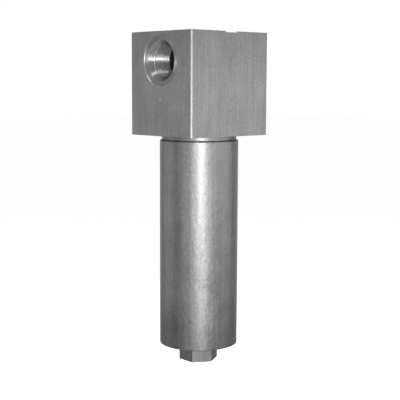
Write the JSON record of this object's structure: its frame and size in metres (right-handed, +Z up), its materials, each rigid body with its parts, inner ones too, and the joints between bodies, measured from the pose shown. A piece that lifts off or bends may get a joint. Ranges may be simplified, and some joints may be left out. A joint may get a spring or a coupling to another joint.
{
  "type": "hydraulic pressure filter",
  "caption": "In-line high-pressure filter with a rectangular ported head, a screwed bowl below it and a pleated element on a spigot inside.",
  "frame": {"origin": "centre of the four mounting holes, on the plane of the head's top face", "axes": "+Z up out of the top face, the bowl hanging towards -Z; inlet port on -X, outlet port on +X; plugged indicator port on +Y"},
  "size_m": [0.1, 0.096, 0.3275],
  "materials": {
    "head_steel": "ground stainless steel with a vertical grain",
    "bowl_steel": "turned stainless steel",
    "plug_steel": "turned stainless steel",
    "inner_steel": "bright pressed and turned steel",
    "washer_brass": "soft copper alloy",
    "seal_rubber": "matt black rubber",
    "backup_plastic": "white waxy plastic",
    "media": "pleated glass-fibre sheet with a woven backing"
  },
  "bodies": {
    "head": {"head_block": "head_steel", "indicator_plug": "plug_steel", "indicator_plug_seal": "seal_rubber", "element_spigot": "inner_steel", "spigot_washer": "washer_brass", "element_o_ring": "seal_rubber", "element_top_cap": "inner_steel", "element_core_tube": "inner_steel", "pleated_media": "media", "seam_clip": "inner_steel", "element_bottom_cap": "inner_steel", "bypass_cage": "inner_steel", "bypass_retaining_ring": "inner_steel", "bypass_spring": "inner_steel"},
    "poppet": {"bypass_poppet": "inner_steel"},
    "bowl_thread_carrier": {"bowl_backup_ring": "backup_plastic"},
    "bowl_drop_carrier": {"bowl_o_ring": "seal_rubber"},
    "bowl": {"bowl": "bowl_steel"},
    "drain_thread_carrier": {"drain_seal": "seal_rubber"},
    "drain_plug": {"drain_plug": "plug_steel"}
  },
  "joints": [
    {"name": "bypass_lift", "type": "slide", "parent": "head", "child": "poppet", "axis": [0, 0, 1], "range_m": [0, 0.0045], "stiffness_N_per_m": 2500, "springref_m": -0.012, "deforming": ["bypass_spring"]},
    {"name": "bowl_unscrew", "type": "slide", "parent": "head", "child": "bowl_thread_carrier", "axis": [0, 0, -1], "range_m": [0, 0.019]},
    {"name": "bowl_drop", "type": "slide", "parent": "bowl_thread_carrier", "child": "bowl_drop_carrier", "axis": [0, 0, -1], "range_m": [0, 0.235]},
    {"name": "bowl_turn", "type": "hinge", "parent": "bowl_drop_carrier", "child": "bowl", "pos_m": [0, 0, -0.1], "axis": [0, 0, -1], "range_deg": [0, 3421]},
    {"name": "drain_unscrew", "type": "slide", "parent": "bowl", "child": "drain_thread_carrier", "axis": [0, 0, -1], "range_m": [0, 0.0107]},
    {"name": "drain_turn", "type": "hinge", "parent": "drain_thread_carrier", "child": "drain_plug", "pos_m": [0, 0, -0.3275], "axis": [0, 0, -1], "range_deg": [0, 2882]}
  ],
  "couplings": [
    {"joint": "bowl_turn", "follows": "bowl_unscrew", "rad_per_m": 3141.6},
    {"joint": "drain_turn", "follows": "drain_unscrew", "rad_per_m": 4699.5}
  ]
}
